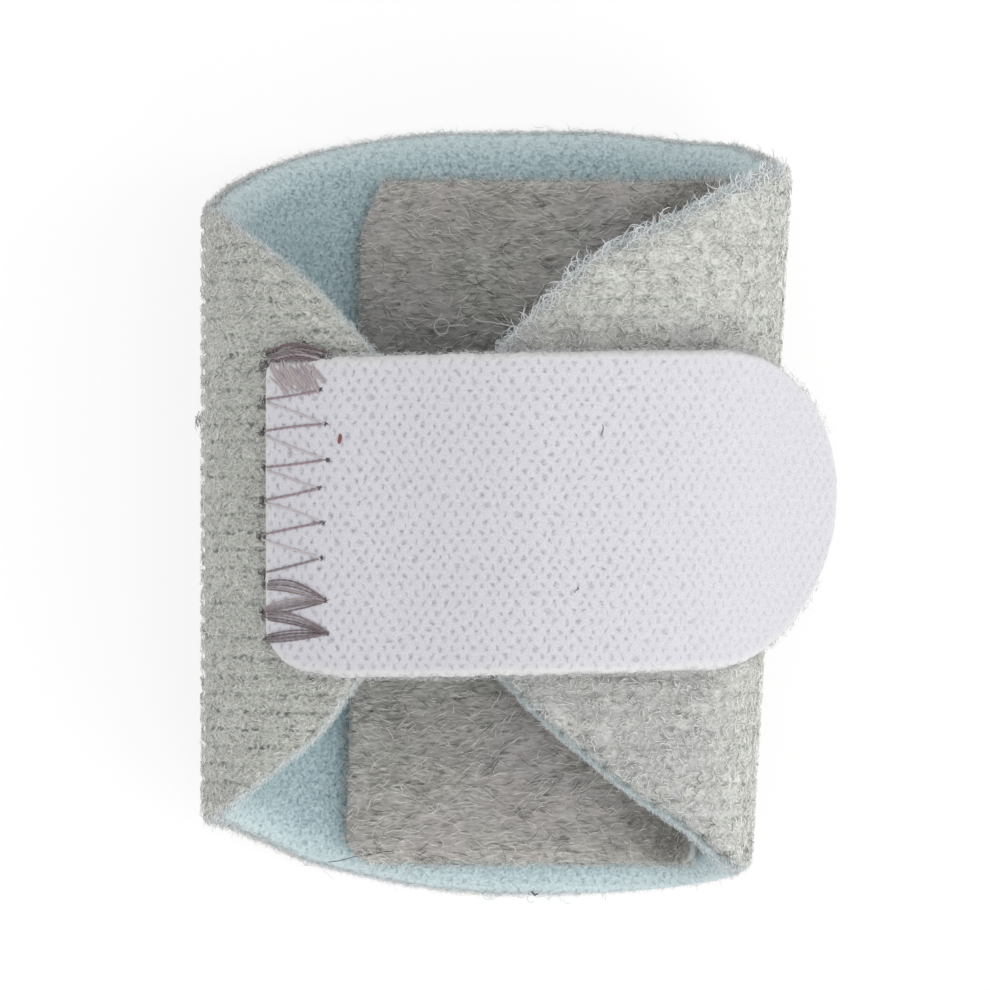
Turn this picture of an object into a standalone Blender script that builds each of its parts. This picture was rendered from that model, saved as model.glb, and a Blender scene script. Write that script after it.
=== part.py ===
"""Finger splint: a padded laminate rolled round a finger and closed by a strap.

The splint lies on its back panel with the strap facing up. +X points across the splint, +Y along
the finger towards its tip and +Z up. The origin is the middle of the flat strip that it rests on.
"""
import math
from collections import namedtuple

import bmesh
import bpy
import numpy as np

MM = 0.001

# Rolled laminate, outside sizes
BACK_LENGTH = 48.9 * MM
LEFT_HALF_WIDTH = 18.5 * MM
RIGHT_HALF_WIDTH = 17.45 * MM
DEPTH = 22.0 * MM
SIDE_HEIGHT = 10.5 * MM          # height of the widest points
FLAT_HALF_WIDTH = 7.0 * MM       # half of the flat strip under the back panel
RIGHT_SIDE_LEAN = 2.8 * MM       # how much wider the right side is at the far end than at the near end
LOWER_BEND_POWER = 2.3           # superellipse powers of the bends below and above the widest points
UPPER_BEND_POWER = 2.15
LEFT_FLAP_END = 7.0 * MM         # distance of each flap's end from the middle
RIGHT_FLAP_END = 0.2 * MM

# Layers
PILE_THICKNESS = 1.2 * MM
LINING_THICKNESS = 0.9 * MM
LINING_PROUD = 0.45 * MM         # lining showing past the pile along the right flap's near edge
LAYER_GAP = 0.3 * MM

# Pocket on the inside of the back panel
POCKET_LEFT = 9.1 * MM
POCKET_RIGHT = 13.6 * MM
POCKET_FAR_REACH = 21.3 * MM
POCKET_NEAR_REACH = 22.4 * MM
POCKET_CORNER = 2.3 * MM
POCKET_THICKNESS = 1.2 * MM

# Strap and the hook tab under its free end
STRAP_WIDTH = 19.9 * MM
STRAP_THICKNESS = 1.3 * MM
STRAP_START = 14.1 * MM          # sewn end, left of the middle
STRAP_LEAVES_AT = 13.8 * MM      # where it leaves the right flap in a straight line
STRAP_TAIL = 8.4 * MM
STRAP_CORNER = 0.9 * MM
STRAP_SKEW = 0.02                # sideways rise for each unit of width
HOOK_START = 3.0 * MM            # right of the middle
HOOK_THICKNESS = 0.8 * MM
HOOK_RIM = 0.25 * MM             # hook tab showing round the strap's end

# Mesh density
BEND_STEPS = 160
WRAP_COLUMNS = 54
WRAP_ROWS = 7
POCKET_COLUMNS = 10
POCKET_ROWS = 8
STRAP_COLUMNS = 16
STRAP_ROWS = 6
HOOK_COLUMNS = 7
CORNER_STEPS = 4
ROUND_END_STEPS = 8
ROUND_END_FIRST_TURN = math.radians(7)
SHARP_ANGLE = math.radians(40)

# Reach of the laminate's two cut edges. A row's way is 0 at the middle of the back panel, 1 at the
# widest point and 2 at the flap's end. A reach of 1 is half the back's length, and 0 is half the
# strap's width.
Cut = namedtuple("Cut", "way far_reach near_reach")
LEFT_CUTS = (
    Cut(0.00, 1.00, 1.00),
    Cut(0.20, 0.99, 0.965),
    Cut(0.36, 0.95, 0.91),
    Cut(0.50, 0.90, 0.85),
    Cut(0.62, 0.84, 0.77),
    Cut(0.75, 0.76, 0.70),
    Cut(1.00, 0.63, 0.64),
    Cut(1.20, 0.615, 0.61),
    Cut(1.40, 0.515, 0.51),
    Cut(1.60, 0.385, 0.375),
    Cut(1.75, 0.255, 0.245),
    Cut(1.90, 0.08, 0.03),
    Cut(2.00, -0.05, -0.10),
)
RIGHT_CUTS = (
    Cut(0.00, 1.00, 1.00),
    Cut(0.30, 0.995, 0.99),
    Cut(0.46, 0.96, 0.97),
    Cut(0.65, 0.93, 0.93),
    Cut(0.80, 0.865, 0.89),
    Cut(1.00, 0.80, 0.83),
    Cut(1.22, 0.785, 0.80),
    Cut(1.40, 0.68, 0.655),
    Cut(1.60, 0.525, 0.485),
    Cut(1.75, 0.405, 0.32),
    Cut(1.90, 0.175, 0.13),
    Cut(2.00, 0.01, -0.03),
)

# A line in the XZ plane: its points, the length up to each one, and the directions off it
Line = namedtuple("Line", "length x z off_x off_z")


def line_through(x, z, off_side):
    """Make a line from its points. Off is to the left of its run for an off_side of 1, else to the right."""
    length = np.concatenate([[0.0], np.cumsum(np.hypot(np.diff(x), np.diff(z)))])
    run_x = np.gradient(x, length)
    run_z = np.gradient(z, length)
    size = np.hypot(run_x, run_z)
    return Line(length, x, z, -off_side * run_z / size, off_side * run_x / size)


def half_section(half_width):
    """Outline of the laminate's outside, from the back's middle round one side to the crown."""
    turn = np.linspace(0.0, math.pi / 2, BEND_STEPS)
    lower_x = FLAT_HALF_WIDTH + (half_width - FLAT_HALF_WIDTH) * np.sin(turn) ** (2 / LOWER_BEND_POWER)
    lower_z = SIDE_HEIGHT * (1 - np.cos(turn) ** (2 / LOWER_BEND_POWER))
    upper_x = half_width * np.cos(turn) ** (2 / UPPER_BEND_POWER)
    upper_z = SIDE_HEIGHT + (DEPTH - SIDE_HEIGHT) * np.sin(turn) ** (2 / UPPER_BEND_POWER)
    x = np.concatenate([[0.0], lower_x, upper_x[1:]])
    z = np.concatenate([[0.0], lower_z, upper_z[1:]])
    return x, z


def full_section():
    """Section line from the left crown down, under the back and up to the right crown."""
    left_x, left_z = half_section(LEFT_HALF_WIDTH)
    right_x, right_z = half_section(RIGHT_HALF_WIDTH)
    x = np.concatenate([-left_x[:0:-1], right_x])
    z = np.concatenate([left_z[:0:-1], right_z])
    line = line_through(x, z, off_side=-1)
    back_middle = line.length[len(left_x) - 1]
    return line._replace(length=line.length - back_middle)


def length_at(section, side, upper, distance):
    """Length where the upper or lower part of a side (-1 left, 1 right) is a distance from the middle."""
    chosen = (side * section.x >= 0) & ((section.z >= SIDE_HEIGHT) == upper)
    distances = side * section.x[chosen]
    order = np.argsort(distances)
    return float(np.interp(distance, distances[order], section.length[chosen][order]))


def strap_line(section):
    """Underside of the strap: over the left flap, across the gap, over the hook tab, then straight."""
    left = np.linspace(length_at(section, -1, True, STRAP_START), section.length[0], BEND_STEPS)
    right = np.linspace(section.length[-1], length_at(section, 1, True, STRAP_LEAVES_AT), BEND_STEPS)
    lengths = np.concatenate([left, right[1:]])
    x = np.interp(lengths, section.length, section.x)
    share = np.clip((x + LEFT_FLAP_END) / (LEFT_FLAP_END + HOOK_START), 0.0, 1.0)
    clearance = LAYER_GAP + (HOOK_THICKNESS + LAYER_GAP) * share ** 2 * (3 - 2 * share)
    z = np.interp(lengths, section.length, section.z)
    z = z + clearance * np.interp(lengths, section.length, section.off_z)
    x = x + clearance * np.interp(lengths, section.length, section.off_x)
    run = np.array([x[-1] - x[-2], z[-1] - z[-2]])
    run /= np.linalg.norm(run)
    return line_through(np.append(x, x[-1] + STRAP_TAIL * run[0]), np.append(z, z[-1] + STRAP_TAIL * run[1]),
                        off_side=1)


def smooth_between(ways, values, where):
    """Read a table's values between its rows, along a smooth curve through them."""
    slopes = np.gradient(values, ways)
    row = min(int(np.searchsorted(ways, where, side="right")) - 1, len(ways) - 2)
    step = ways[row + 1] - ways[row]
    t = (where - ways[row]) / step
    start = (1 + 2 * t) * (1 - t) ** 2 * values[row] + t * (1 - t) ** 2 * step * slopes[row]
    end = t * t * (3 - 2 * t) * values[row + 1] - t * t * (1 - t) * step * slopes[row + 1]
    return float(start + end)


def laminate_reach(way, cuts, column):
    """Distance of a cut edge from the middle of the length, at a way round the laminate."""
    share = smooth_between([cut.way for cut in cuts], [getattr(cut, column) for cut in cuts], way)
    return STRAP_WIDTH / 2 + (BACK_LENGTH - STRAP_WIDTH) / 2 * share


def laminate_columns(section, proud):
    """Lengths of the laminate's columns, and its near and far edge at each one."""
    ends = [length_at(section, -1, True, LEFT_FLAP_END), length_at(section, 1, True, RIGHT_FLAP_END)]
    sides = [length_at(section, -1, True, LEFT_HALF_WIDTH), length_at(section, 1, True, RIGHT_HALF_WIDTH)]
    lengths = np.linspace(*ends, WRAP_COLUMNS + 1)
    edges = []
    for length in lengths:
        right = bool(length > 0)
        side, end = sides[right], ends[right]
        way = length / side if abs(length) < abs(side) else 1 + (length - side) / (end - side)
        cuts = RIGHT_CUTS if right else LEFT_CUTS
        near = laminate_reach(way, cuts, "near_reach") + (proud * min(way, 1.0) if right else 0.0)
        edges.append((-near, laminate_reach(way, cuts, "far_reach")))
    return lengths, edges


def corner(radius, steps, first_turn=0.0):
    """Distances from a strip's end, and the width lost on each side, round a corner."""
    turns = np.linspace(first_turn, math.pi / 2, steps + 1)
    return radius * (1 - np.cos(turns)), radius * (1 - np.sin(turns))


def strip_columns(start, end, start_corner, end_corner, columns):
    """Column lengths of a strip, and the width that its corners take off each side at each one."""
    start_distances, start_losses = start_corner
    end_distances, end_losses = end_corner
    between = np.linspace(start + start_distances[-1], end - end_distances[-1], columns + 1)[1:-1]
    lengths = np.concatenate([start + start_distances, between, (end - end_distances)[::-1]])
    losses = np.concatenate([start_losses, np.zeros(len(between)), end_losses[::-1]])
    return lengths, losses


def pocket_columns(section):
    """Columns of the pocket patch, with its round corners."""
    start = length_at(section, -1, False, POCKET_LEFT)
    end = length_at(section, 1, False, POCKET_RIGHT)
    turned = corner(POCKET_CORNER, CORNER_STEPS)
    lengths, losses = strip_columns(start, end, turned, turned, POCKET_COLUMNS)
    return lengths, [(loss - POCKET_NEAR_REACH, POCKET_FAR_REACH - loss) for loss in losses]


def strap_columns(line, start, end, start_corner, columns):
    """Columns of a strip as wide as the strap, with a round end and the strap's skew."""
    round_end = corner(STRAP_WIDTH / 2, ROUND_END_STEPS, ROUND_END_FIRST_TURN)
    lengths, losses = strip_columns(start, end, start_corner, round_end, columns)
    middles = STRAP_SKEW * np.interp(lengths, line.length, line.x)
    halves = STRAP_WIDTH / 2 - losses
    return lengths, list(zip(middles - halves, middles + halves))


def place(line, length, off, y):
    """Point at a length along a line and a distance off it, with the right side's lean."""
    x = np.interp(length, line.length, line.x) + off * np.interp(length, line.length, line.off_x)
    z = np.interp(length, line.length, line.z) + off * np.interp(length, line.length, line.off_z)
    if x > 0:
        x *= 1 + RIGHT_SIDE_LEAN / RIGHT_HALF_WIDTH * y / BACK_LENGTH
    return x, y, z


def fabric(name, colour, roughness):
    """Plain cloth material."""
    material = bpy.data.materials.new(name)
    material.use_nodes = True
    shader = material.node_tree.nodes["Principled BSDF"]
    shader.inputs["Base Color"].default_value = (*colour, 1.0)
    shader.inputs["Roughness"].default_value = roughness
    shader.inputs["Metallic"].default_value = 0.0
    return material


def layer(name, line, columns, rows, off, thickness, material):
    """Bend a grid to a line at a distance off it, and thicken it to the side that the grid faces."""
    lengths, edges = columns
    grid = bmesh.new()
    bmesh.ops.create_grid(grid, x_segments=len(lengths) - 1, y_segments=rows, size=1.0)
    for vertex in grid.verts:
        column = round((vertex.co.x + 1) / 2 * (len(lengths) - 1))
        near, far = edges[column]
        share = (vertex.co.y + 1) / 2
        vertex.co = place(line, lengths[column], off, near + (far - near) * share)
    mesh = bpy.data.meshes.new(name)
    grid.to_mesh(mesh)
    grid.free()
    mesh.materials.append(material)
    mesh.shade_smooth()
    mesh.set_sharp_from_angle(angle=SHARP_ANGLE)
    piece = bpy.data.objects.new(name, mesh)
    bpy.context.collection.objects.link(piece)
    wall = piece.modifiers.new("Wall", "SOLIDIFY")
    wall.thickness = thickness
    wall.offset = 1.0
    return piece


def build_laminate(section):
    """Pile layer outside and lining inside, rolled together."""
    pile = fabric("grey_pile", (0.42, 0.42, 0.40), 0.95)
    lining = fabric("blue_brushed_lining", (0.36, 0.46, 0.49), 0.95)
    layer("outer_wrap", section, laminate_columns(section, 0.0), WRAP_ROWS, 0.0, PILE_THICKNESS, pile)
    layer("lining", section, laminate_columns(section, LINING_PROUD), WRAP_ROWS,
          -PILE_THICKNESS - LAYER_GAP, LINING_THICKNESS, lining)


def build_pocket(section):
    """Pile patch on the inside of the back panel."""
    pile = fabric("grey_pocket_pile", (0.24, 0.24, 0.23), 0.95)
    off = -PILE_THICKNESS - LINING_THICKNESS - 2 * LAYER_GAP
    layer("splint_pocket", section, pocket_columns(section), POCKET_ROWS, off, POCKET_THICKNESS, pile)


def build_strap(section):
    """Strap with its round end, and the hook tab that holds it to the right flap."""
    line = strap_line(section)
    tip = line.length[-1]
    hook_start = float(np.interp(HOOK_START, line.x, line.length))
    white = fabric("white_loop_tape", (0.72, 0.71, 0.75), 0.9)
    hook = fabric("off_white_hook_tape", (0.68, 0.67, 0.63), 0.6)
    rounded = corner(STRAP_CORNER, CORNER_STEPS)
    square = corner(0.0, 0)
    layer("strap", line, strap_columns(line, 0.0, tip - HOOK_RIM, rounded, STRAP_COLUMNS), STRAP_ROWS,
          0.0, STRAP_THICKNESS, white)
    layer("hook_tab", line, strap_columns(line, hook_start, tip, square, HOOK_COLUMNS), STRAP_ROWS,
          -LAYER_GAP - HOOK_THICKNESS, HOOK_THICKNESS, hook)


def main():
    for old in list(bpy.data.objects):
        bpy.data.objects.remove(old)
    section = full_section()
    build_laminate(section)
    build_pocket(section)
    build_strap(section)


main()
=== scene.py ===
import math
from collections import namedtuple

import bpy
import numpy as np
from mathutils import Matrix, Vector


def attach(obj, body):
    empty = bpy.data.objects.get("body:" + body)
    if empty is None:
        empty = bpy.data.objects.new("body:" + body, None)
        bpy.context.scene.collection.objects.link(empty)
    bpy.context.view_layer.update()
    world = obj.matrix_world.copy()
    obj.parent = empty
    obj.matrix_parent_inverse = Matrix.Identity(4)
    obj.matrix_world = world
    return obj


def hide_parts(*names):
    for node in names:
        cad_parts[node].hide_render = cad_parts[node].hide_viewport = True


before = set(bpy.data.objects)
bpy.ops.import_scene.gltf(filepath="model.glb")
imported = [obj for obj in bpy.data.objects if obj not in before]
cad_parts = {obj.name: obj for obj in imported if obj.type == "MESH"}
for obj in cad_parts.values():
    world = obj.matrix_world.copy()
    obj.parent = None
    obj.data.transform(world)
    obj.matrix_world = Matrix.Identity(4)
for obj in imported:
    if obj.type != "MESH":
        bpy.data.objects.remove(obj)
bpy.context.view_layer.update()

MM = 0.001
RANDOM = np.random.default_rng(7)


def mm(*values):
    """Values in metres from millimetres."""
    return tuple(value * MM for value in values)


# Rolled laminate, as in the part's source
BACK_LENGTH = 48.9 * MM
LEFT_HALF_WIDTH = 18.5 * MM
RIGHT_HALF_WIDTH = 17.45 * MM
DEPTH = 22.0 * MM
SIDE_HEIGHT = 10.5 * MM
FLAT_HALF_WIDTH = 7.0 * MM
RIGHT_SIDE_LEAN = 2.8 * MM
LOWER_BEND_POWER = 2.3
UPPER_BEND_POWER = 2.15
LEFT_FLAP_END = 7.0 * MM
RIGHT_FLAP_END = 0.2 * MM
PILE_THICKNESS = 1.2 * MM
LINING_THICKNESS = 0.9 * MM
LINING_PROUD = 0.45 * MM
LAYER_GAP = 0.3 * MM
LAMINATE_DEPTH = PILE_THICKNESS + LAYER_GAP + LINING_THICKNESS

# Pocket, strap and hook tab, as in the part's source
POCKET_LEFT = 9.1 * MM
POCKET_RIGHT = 13.6 * MM
POCKET_FAR_REACH = 21.3 * MM
POCKET_NEAR_REACH = 22.4 * MM
POCKET_CORNER = 2.3 * MM
POCKET_THICKNESS = 1.2 * MM
STRAP_WIDTH = 19.9 * MM
STRAP_THICKNESS = 1.3 * MM
STRAP_START = 14.1 * MM
STRAP_LEAVES_AT = 13.8 * MM
STRAP_TAIL = 8.4 * MM
STRAP_CORNER = 0.9 * MM
STRAP_SKEW = 0.02
HOOK_START = 3.0 * MM
HOOK_THICKNESS = 0.8 * MM
HOOK_RIM = 0.25 * MM
BEND_STEPS = 400
RIM_STEPS = 5
FIRST_TURN = math.radians(2.0)

# Reach of the laminate's two cut edges, as in the part's source
Cut = namedtuple("Cut", "way far_reach near_reach")
LEFT_CUTS = (
    Cut(0.00, 1.00, 1.00),
    Cut(0.20, 0.99, 0.965),
    Cut(0.36, 0.95, 0.91),
    Cut(0.50, 0.90, 0.85),
    Cut(0.62, 0.84, 0.77),
    Cut(0.75, 0.76, 0.70),
    Cut(1.00, 0.63, 0.64),
    Cut(1.20, 0.615, 0.61),
    Cut(1.40, 0.515, 0.51),
    Cut(1.60, 0.385, 0.375),
    Cut(1.75, 0.255, 0.245),
    Cut(1.90, 0.08, 0.03),
    Cut(2.00, -0.05, -0.10),
)
RIGHT_CUTS = (
    Cut(0.00, 1.00, 1.00),
    Cut(0.30, 0.995, 0.99),
    Cut(0.46, 0.96, 0.97),
    Cut(0.65, 0.93, 0.93),
    Cut(0.80, 0.865, 0.89),
    Cut(1.00, 0.80, 0.83),
    Cut(1.22, 0.785, 0.80),
    Cut(1.40, 0.68, 0.655),
    Cut(1.60, 0.525, 0.485),
    Cut(1.75, 0.405, 0.32),
    Cut(1.90, 0.175, 0.13),
    Cut(2.00, 0.01, -0.03),
)

# Surface detail
RIB_PITCH = 1.12 * MM
RIB_DEPTH = 0.2 * MM
LOOP_PITCH = 0.72 * MM           # knitted loops along a row of the strap
LOOP_ROW = 0.55 * MM
STRAP_DIMPLE = 0.09 * MM
KNIT_PITCH = 0.8 * MM           # pits along a row of the lining
KNIT_ROW = 0.64 * MM

# Camera and photo scale
PHOTO_MM_PER_PIXEL = 1 / 16.2
PHOTO_SIZE = 990
CAMERA_HEIGHT = 500 * MM         # above the strap
CAMERA_Y = 1.2 * MM
STRAP_TOP = 23.4 * MM
SENSOR_WIDTH = 36.0
WORLD_STRENGTH = 0.75
FLOOR_SHADE = 0.25
FLOOR_GLOW = 0.76                # the floor is a light table, so its shadows are faint
LAMPS = (                        # name, direction to it, spread in degrees and strength
    ("key", (0.72, -0.48, 0.62), 70, 1.3),
    ("top", (0.0, 0.0, 1.0), 60, 0.25),
)

# Zigzag seam, in millimetres from the camera's axis as seen from above
Stitch = namedtuple("Stitch", "hole_x hole_y turn_x turn_y")
ZIGZAG = (
    Stitch(-14.7, 7.1, -10.8, 7.7),
    Stitch(-14.8, 5.1, -10.5, 5.6),
    Stitch(-14.7, 2.9, -10.4, 3.4),
    Stitch(-14.8, 0.8, -10.9, 1.6),
    Stitch(-15.0, -1.4, -10.7, -0.5),
    Stitch(-14.7, -3.7, -10.7, -2.7),
)
Bundle = namedtuple("Bundle", "start_x start_y end_x end_y bow")
LOCK_STITCHES = (
    Bundle(-14.7, -4.45, -10.5, -5.25, 0.35),
    Bundle(-14.7, -6.1, -10.5, -5.35, 0.12),
    Bundle(-14.7, -6.3, -10.4, -7.3, 0.35),
    Bundle(-14.6, -7.8, -10.4, -7.4, 0.12),
)
LOCK_THREADS = 5                 # in each bundle
THREAD_RADIUS = 0.1 * MM
POCKET_LEFT_EXTRA = 0.35 * MM    # past the solid's sides
POCKET_RIGHT_EXTRA = 5.2 * MM
POCKET_SLANT = 0.03              # of its sides, in length for its y
POCKET_SNIP_WIDTH = 1.5 * MM     # off the pocket's far left corner
POCKET_SNIP_LENGTH = 3.2 * MM
STRAP_TRIM = 0.6 * MM            # from the solid's sewn end
TIP_TRIM = 0.25 * MM             # from the solid's round end
FLAP_SLOPE = 1.24                # of the right flap's cut edges, as seen from above
SHADE_START = -16.5 * MM         # painted shade: the pocket's pile is darker from here to the right flap's edge
SHADE_END = -11.6 * MM
SHADE_SHARE = 0.55
CRUSH_REACH = 2.2 * MM           # how far from its cut edges the laminate is thinned
PILE_CRUSH = 0.95 * MM
LINING_CRUSH = 1.15 * MM

Line = namedtuple("Line", "length x z off_x off_z")


def line_through(x, z, off_side):
    """Make a line from its points. Off is left of its run for an off_side of 1, else right."""
    length = np.concatenate([[0.0], np.cumsum(np.hypot(np.diff(x), np.diff(z)))])
    run_x = np.gradient(x, length)
    run_z = np.gradient(z, length)
    size = np.hypot(run_x, run_z)
    return Line(length, x, z, -off_side * run_z / size, off_side * run_x / size)


def half_section(half_width):
    """Outline of the laminate's outside, from the back's middle round one side to the crown."""
    turn = np.linspace(0.0, math.pi / 2, BEND_STEPS)
    lower_x = FLAT_HALF_WIDTH + (half_width - FLAT_HALF_WIDTH) * np.sin(turn) ** (2 / LOWER_BEND_POWER)
    lower_z = SIDE_HEIGHT * (1 - np.cos(turn) ** (2 / LOWER_BEND_POWER))
    upper_x = half_width * np.cos(turn) ** (2 / UPPER_BEND_POWER)
    upper_z = SIDE_HEIGHT + (DEPTH - SIDE_HEIGHT) * np.sin(turn) ** (2 / UPPER_BEND_POWER)
    x = np.concatenate([[0.0], lower_x, upper_x[1:]])
    z = np.concatenate([[0.0], lower_z, upper_z[1:]])
    return x, z


def full_section():
    """Section line from the left crown down, under the back and up to the right crown."""
    left_x, left_z = half_section(LEFT_HALF_WIDTH)
    right_x, right_z = half_section(RIGHT_HALF_WIDTH)
    x = np.concatenate([-left_x[:0:-1], right_x])
    z = np.concatenate([left_z[:0:-1], right_z])
    line = line_through(x, z, off_side=-1)
    back_middle = line.length[len(left_x) - 1]
    return line._replace(length=line.length - back_middle)


def length_at(section, side, upper, distance):
    """Length where the upper or lower part of a side (-1 left, 1 right) is a distance from the middle."""
    chosen = (side * section.x >= 0) & ((section.z >= SIDE_HEIGHT) == upper)
    distances = side * section.x[chosen]
    order = np.argsort(distances)
    return float(np.interp(distance, distances[order], section.length[chosen][order]))


def strap_line(section):
    """Underside of the strap. It starts before the sewn end, at length zero, to carry the stitches."""
    before = 2.0 * MM
    left = np.linspace(length_at(section, -1, True, STRAP_START + before), section.length[0], BEND_STEPS)
    right = np.linspace(section.length[-1], length_at(section, 1, True, STRAP_LEAVES_AT), BEND_STEPS)
    lengths = np.concatenate([left, right[1:]])
    x = np.interp(lengths, section.length, section.x)
    share = np.clip((x + LEFT_FLAP_END) / (LEFT_FLAP_END + HOOK_START), 0.0, 1.0)
    clearance = LAYER_GAP + (HOOK_THICKNESS + LAYER_GAP) * share ** 2 * (3 - 2 * share)
    z = np.interp(lengths, section.length, section.z)
    z = z + clearance * np.interp(lengths, section.length, section.off_z)
    x = x + clearance * np.interp(lengths, section.length, section.off_x)
    run = np.array([x[-1] - x[-2], z[-1] - z[-2]])
    run /= np.linalg.norm(run)
    x = np.append(x, x[-1] + STRAP_TAIL * run[0])
    z = np.append(z, z[-1] + STRAP_TAIL * run[1])
    line = line_through(x, z, off_side=1)
    sewn_end = length_at(section, -1, True, STRAP_START)
    zero = np.interp(sewn_end, left[::-1], line.length[:BEND_STEPS][::-1])
    return line._replace(length=line.length - zero)


SECTION = full_section()
STRAP = strap_line(SECTION)
FLAP_ENDS = (length_at(SECTION, -1, True, LEFT_FLAP_END), length_at(SECTION, 1, True, RIGHT_FLAP_END))
SIDES = (length_at(SECTION, -1, True, LEFT_HALF_WIDTH), length_at(SECTION, 1, True, RIGHT_HALF_WIDTH))
STRAP_TIP = STRAP.length[-1] - TIP_TRIM
POCKET_SPAN = (length_at(SECTION, -1, False, POCKET_LEFT) - POCKET_LEFT_EXTRA,
               length_at(SECTION, 1, False, POCKET_RIGHT) + POCKET_RIGHT_EXTRA)


def place(line, length, off, y):
    """Points by a line, with the lean of the right side, and never under the floor."""
    x = np.interp(length, line.length, line.x) + off * np.interp(length, line.length, line.off_x)
    z = np.interp(length, line.length, line.z) + off * np.interp(length, line.length, line.off_z)
    lean = 1 + RIGHT_SIDE_LEAN / RIGHT_HALF_WIDTH * y / BACK_LENGTH
    return np.stack([np.where(x > 0, x * lean, x), y + 0 * x, np.maximum(z, 0.0)], axis=-1)


def smooth_between(ways, values, where):
    """Read a table's values between its rows, along a smooth curve through them."""
    ways = np.asarray(ways)
    values = np.asarray(values)
    slopes = np.gradient(values, ways)
    row = np.clip(np.searchsorted(ways, where, side="right") - 1, 0, len(ways) - 2)
    step = ways[row + 1] - ways[row]
    t = (where - ways[row]) / step
    start = (1 + 2 * t) * (1 - t) ** 2 * values[row] + t * (1 - t) ** 2 * step * slopes[row]
    end = t * t * (3 - 2 * t) * values[row + 1] - t * t * (1 - t) * step * slopes[row + 1]
    return start + end


def laminate_edges(lengths, proud=0.0):
    """Near and far cut edge of the laminate at lengths round it."""
    lengths = np.asarray(lengths, float)
    reaches = {}
    for column in ("near_reach", "far_reach"):
        sides = []
        for side, end, cuts in zip(SIDES, FLAP_ENDS, (LEFT_CUTS, RIGHT_CUTS)):
            past_side = 1 + (lengths - side) / (end - side)
            way = np.where(np.abs(lengths) < abs(side), lengths / side, past_side)
            way = np.clip(way, 0.0, 2.0)
            share = smooth_between([cut.way for cut in cuts], [getattr(cut, column) for cut in cuts], way)
            reach = STRAP_WIDTH / 2 + (BACK_LENGTH - STRAP_WIDTH) / 2 * share
            if cuts is RIGHT_CUTS and column == "near_reach":
                reach = reach + proud * np.minimum(way, 1.0)
            sides.append(reach)
        reaches[column] = np.where(lengths > 0, sides[1], sides[0])
    return -reaches["near_reach"], reaches["far_reach"]


def grain(x, y, seed):
    """Smooth random values from -1 to 1 at points counted in cells."""
    cells = np.random.default_rng(seed).uniform(-1, 1, (64, 64))
    column = np.floor(x).astype(int)
    row = np.floor(y).astype(int)
    u = x - column
    v = y - row
    u = u * u * (3 - 2 * u)
    v = v * v * (3 - 2 * v)
    low = cells[row % 64, column % 64] * (1 - u) + cells[row % 64, (column + 1) % 64] * u
    high = cells[(row + 1) % 64, column % 64] * (1 - u) + cells[(row + 1) % 64, (column + 1) % 64] * u
    return low * (1 - v) + high * v


def drifting(amount, size, seed):
    """Function that moves places on a cloth a little, so that its pattern wanders."""
    def moved(length, y):
        x_cells = length / size
        y_cells = y / size
        moved_length = length + amount * grain(x_cells, y_cells, seed)
        return moved_length, y + amount * grain(x_cells, y_cells, seed + 1)
    return moved


def rib_depth(length, y):
    """Depth of the narrow grooves between the pile's ribs, which run round the splint."""
    groove = 0.5 + 0.5 * np.cos(2 * math.pi * y / RIB_PITCH)
    broken = 0.7 + 0.3 * grain(length / (0.7 * MM), y / (0.9 * MM), 12)
    lumps = 0.06 * MM * (1 + grain(length / (0.8 * MM), y / (0.5 * MM), 13))
    return RIB_DEPTH * groove ** 3 * broken + lumps


def staggered(length, y, pitch, row):
    """Dots in staggered rows: 1 at their middles, and 0 from half way between them."""
    wave = np.cos(2 * math.pi * length / pitch) * np.cos(math.pi * y / row)
    return np.clip(wave, 0.0, 1.0)


def brushed_depth(length, y):
    """Soft swells of the brushed lining."""
    fine = 0.04 * MM * (1 + grain(length / (0.9 * MM), y / (0.7 * MM), 21))
    return fine + 0.05 * MM * (1 + grain(length / (2.5 * MM), y / (2.5 * MM), 22))


def patch_depth(length, y):
    """Shallow swells of the pocket's pile, drawn out across the splint."""
    broad = 1 + grain(length / (5 * MM), y / (2.2 * MM), 31)
    fine = 1 + grain(length / (1.6 * MM), y / (0.45 * MM), 32)
    return 0.1 * MM * broad + 0.07 * MM * fine


def strap_depth(length, y):
    """Depth of the dimples between the strap's knitted loops."""
    dimples = staggered(length, y, LOOP_PITCH, LOOP_ROW) ** 2
    broken = 0.65 + 0.35 * grain(length / (0.9 * MM), y / (0.7 * MM), 42)
    fine = 0.02 * MM * (1 + grain(length / (0.5 * MM), y / (0.5 * MM), 43))
    return STRAP_DIMPLE * dimples * broken + fine


def hook_depth(length, y):
    """Weave of the hook tape's ground, in close crossing rows."""
    weave = np.sin(2 * math.pi * length / (0.55 * MM)) * np.sin(2 * math.pi * y / (0.55 * MM))
    return 0.04 * MM * (1.1 + weave)


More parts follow.
